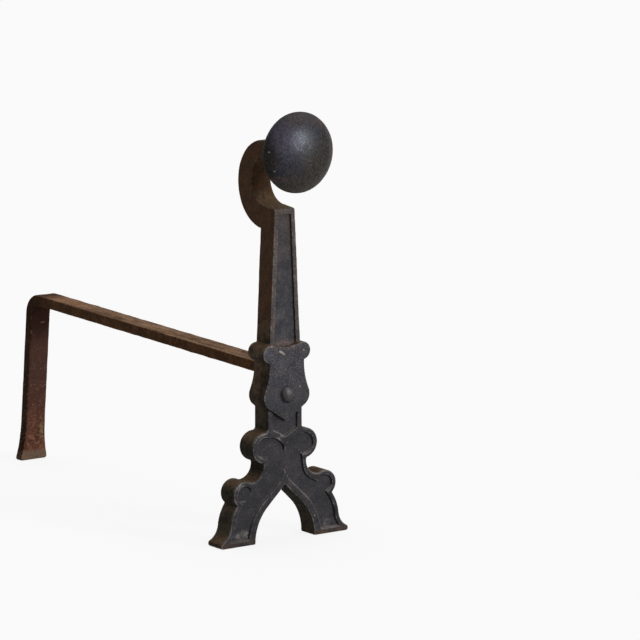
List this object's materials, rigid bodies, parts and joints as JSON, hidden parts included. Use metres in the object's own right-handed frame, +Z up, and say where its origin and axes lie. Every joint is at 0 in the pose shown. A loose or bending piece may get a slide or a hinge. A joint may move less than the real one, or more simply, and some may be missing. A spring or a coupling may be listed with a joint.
{
  "type": "andiron",
  "caption": "Andiron with a scrolled cast iron front, a riveted shield, a curled post that carries a flattened ball, and a flat bar bent down to a rear foot.",
  "frame": {"origin": "bottom centre of the bounding box, on the hearth", "axes": "+X across the front, -Y towards the room and the ball, +Y towards the rear foot, +Z up"},
  "size_m": [0.1584, 0.5372, 0.4447],
  "materials": {
    "cast_iron": "charcoal, sandy and worn at the edges",
    "ball_iron": "blue-black, pitted",
    "stud_steel": "plain",
    "bar_steel": "rusted, brown",
    "rivet_steel": "hammered, dark"
  },
  "bodies": {
    "root": {"front_casting": "cast_iron", "ball": "ball_iron", "ball_stud": "stud_steel", "billet_bar": "bar_steel", "bar_rivet": "rivet_steel"}
  },
  "joints": []
}
